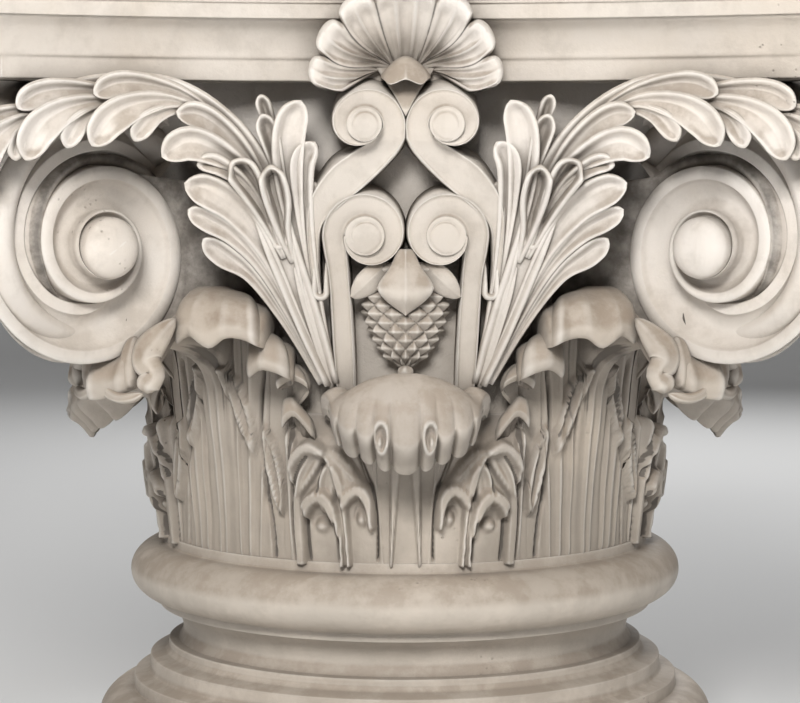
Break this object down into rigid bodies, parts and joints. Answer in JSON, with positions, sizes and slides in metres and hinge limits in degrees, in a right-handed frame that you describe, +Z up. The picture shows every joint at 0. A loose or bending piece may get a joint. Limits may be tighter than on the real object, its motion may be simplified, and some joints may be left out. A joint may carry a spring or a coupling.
{
  "type": "corinthian capital",
  "caption": "Carved capital with curling acanthus leaves, corner volutes, scrolls and a shell under a concave-sided abacus, standing on a round moulded foot.",
  "frame": {"origin": "centre of the underside of the foot", "axes": "+Z up along the axis of the column; -Y is the front face, and the four faces are alike"},
  "size_m": [0.5778, 0.5778, 0.5362],
  "materials": {
    "cast_stone": "matt"
  },
  "bodies": {
    "root": {"capital": "cast_stone", "moulded_foot": "cast_stone"}
  },
  "joints": []
}
